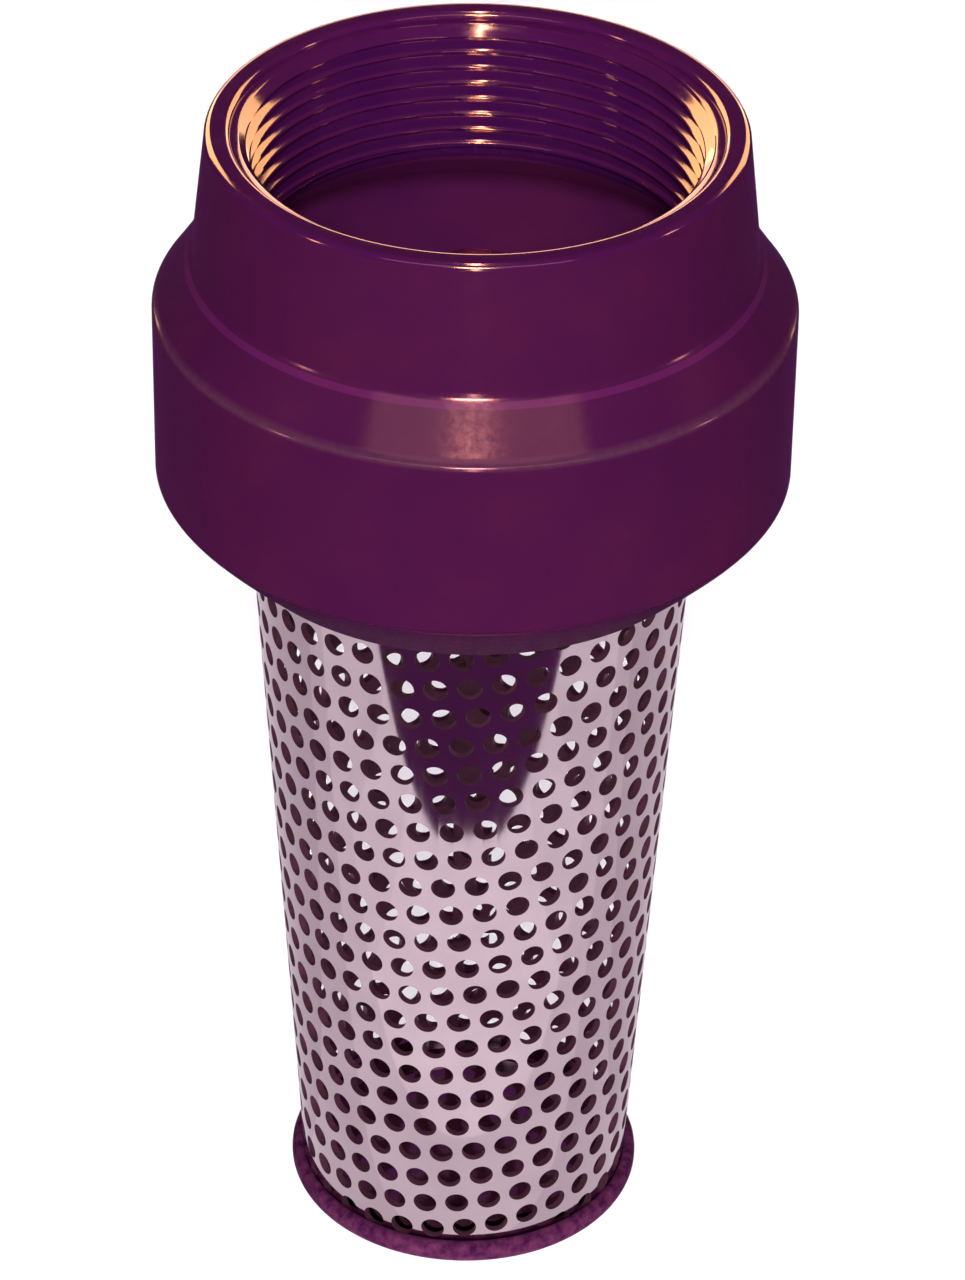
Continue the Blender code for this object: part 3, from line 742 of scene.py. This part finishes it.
def soft_box(name, azimuth, elevation, width, height, radiance, colour, only=None,
             distance=LAMP_DISTANCE):
    """A light panel that only shows in reflections. Its width and height are the angles that it fills."""
    size = [2 * distance * math.tan(math.radians(angle) / 2) for angle in (width, height)]
    data = bpy.data.lights.new(name, "AREA")
    data.shape = "RECTANGLE"
    data.size, data.size_y = size
    data.energy = radiance * math.pi * size[0] * size[1]
    data.color = colour
    panel = aim(name, data, toward(azimuth, elevation), distance)
    panel.visible_diffuse = False
    if only is not None:
        light_only(panel, only)


def fill(name, azimuth, elevation, spread, strength, only=None):
    """Broad light with no reflection of its own, on everything or only on one object."""
    data = bpy.data.lights.new(name, "SUN")
    data.energy = strength
    data.angle = math.radians(spread)
    light = aim(name, data, toward(azimuth, elevation), 2.0)
    light.visible_glossy = False
    if only is not None:
        light_only(light, only)
    return light


def floor_glow(left, right, front, back, radiance, sheet):
    """A patch of the lit floor as the sheet's gloss shows it, in millimetres."""
    data = bpy.data.lights.new("floor_glow", "AREA")
    data.shape = "RECTANGLE"
    data.size, data.size_y = (right - left) * MM, (back - front) * MM
    data.energy = radiance * math.pi * data.size * data.size_y
    glow = bpy.data.objects.new("floor_glow", data)
    bpy.context.scene.collection.objects.link(glow)
    glow.location = ((left + right) / 2 * MM, (front + back) / 2 * MM, -0.2 * MM)
    glow.rotation_euler = (math.pi, 0.0, 0.0)
    glow.visible_diffuse = False
    glow.visible_camera = False
    light_only(glow, sheet)


def add_floor_glow(sheet):
    """Brightest in front of the valve, and dimmer to its sides."""
    front, side, back = (round(edge / MM, 1) for edge in (FLOOR_FRONT, FLOOR_SIDE, FLOOR_BACK))
    strips_back = -45.0
    strips = (                      # inner and outer side, reach past the floor's edge, radiance
        (0.0, 14.0, 4.5, 1.10),
        (14.0, 28.0, 2.5, 1.10),
        (28.0, 60.0, 0.0, 1.08),
        (60.0, 95.0, 0.0, 0.98),
        (95.0, 140.0, 0.0, 0.86),
        (140.0, side, 0.0, 0.76),
    )
    for inner, outer, reach, radiance in strips:
        floor_glow(inner, outer, front - reach, strips_back, radiance, sheet)
        floor_glow(-outer, -inner, front - reach, strips_back, radiance, sheet)
    for low, high, radiance in ((strips_back, -25.0, 0.88), (-25.0, 0.0, 0.74), (0.0, back, 0.62)):
        floor_glow(-side, side, low, high, radiance, sheet)


def add_lights(floor, casting, sheet):
    """Fills light the surfaces, and panels show in their gloss. The floor glow is for the sheet alone."""
    fill("key_low", 0, 18, 14, 1.2)
    fill("key_high", 0, 34, 10, 1.7)
    floor_light = fill("floor_light", 0, 90, 12, 2.3, floor)
    floor_light.data.use_shadow = False
    for side in (-1, 1):
        fill("sheet_fill", 62 * side, 28, 20, 1.6, sheet)
    soft_box("front_panel", 1, 40, 66, 11, 0.60, (1.0, 0.95, 0.95), distance=1.1)
    panels = (                      # name, azimuth, elevation, width, height, radiance, colour
        ("lamp", -1, 29, 11, 3, 90.0, (1.0, 0.78, 0.90)),
        ("lamp_strip", 0, 7, 1.6, 34, 16.0, (1.0, 0.80, 0.95)),
        ("top_lamp", 0, 78, 1.6, 30, 30.0, (0.90, 0.68, 1.0)),
        ("stroke_left", -66, 13, 5, 12, 5.0, (1.0, 0.75, 0.95)),
        ("stroke_right", 82, 10, 5, 10, 5.0, (1.0, 0.75, 0.95)),
        ("back_left", -147, 19, 26, 34, 5.0, (1.0, 0.82, 0.62)),
        ("back_right", 147, 19, 26, 34, 3.8, (1.0, 0.84, 0.64)),
        ("back_middle", 180, 11, 44, 16, 4.5, (1.0, 0.75, 0.75)),
    )
    for panel in panels:
        soft_box(*panel, only=casting)
    add_floor_glow(sheet)
    floor.visible_glossy = False
    floor.visible_shadow = False


def add_camera():
    """Stands a long way off, above the rim, and looks down at the strainer's upper part."""
    distance, elevation = 20.0 * COLLAR_R, math.radians(28.66)
    down, turn, roll = math.radians(34.02), math.radians(-0.15), math.radians(0.90)
    data = bpy.data.cameras.new("camera")
    data.lens = 153.7
    data.sensor_width = 36.0
    data.clip_start = 0.05
    camera = bpy.data.objects.new("camera", data)
    bpy.context.scene.collection.objects.link(camera)
    rise = distance * math.sin(elevation)
    stand = Matrix.Translation((0.0, -distance * math.cos(elevation), HEIGHT + rise))
    tilt = Matrix.Rotation(turn, 4, "Z") @ Matrix.Rotation(math.pi / 2 - down, 4, "X")
    camera.matrix_world = stand @ tilt @ Matrix.Rotation(roll, 4, "Z")
    bpy.context.scene.camera = camera


floor = add_stage()
add_world()
add_lights(floor, body, screen)
add_camera()
bpy.context.scene.view_settings.view_transform = "Standard"
